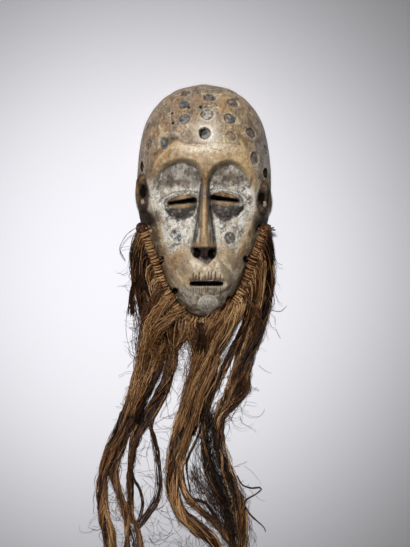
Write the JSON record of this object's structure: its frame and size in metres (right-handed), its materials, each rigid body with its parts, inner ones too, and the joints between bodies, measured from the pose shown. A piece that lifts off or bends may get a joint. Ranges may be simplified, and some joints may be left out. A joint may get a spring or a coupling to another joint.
{
  "type": "lega mask with raffia beard",
  "caption": "Oval carved wooden face mask with a domed spotted forehead, heart-shaped sunken face and slit eyes, with a long raffia beard tied along the jaw.",
  "frame": {"origin": "centre of the whole part's footprint, on the surface that the mask lies on", "axes": "+X to the viewer's right, +Y from the beard to the crown, +Z out of the face, up from the surface"},
  "size_m": [0.1624, 0.4632, 0.0655],
  "materials": {
    "carved_wood": "old hand-carved wood, worn ochre on the ridges, rubbed with white clay in the face and stained dark in the pits",
    "wound_twine": "golden brown plant fibre wound in tight turns round a cord",
    "raffia": "loose dark brown raffia fibres with golden strands"
  },
  "bodies": {
    "root": {"carved_mask": "carved_wood", "beard_band": "wound_twine", "raffia_lock_left_outer": "raffia", "raffia_lock_left_second": "raffia", "raffia_lock_left_third": "raffia", "raffia_lock_left_inner": "raffia", "raffia_lock_chin_left": "raffia", "raffia_lock_middle_left": "raffia", "raffia_lock_middle_right": "raffia", "raffia_lock_right_inner": "raffia", "raffia_lock_right_third": "raffia", "raffia_lock_right_second": "raffia", "raffia_lock_right_outer": "raffia"}
  },
  "joints": []
}
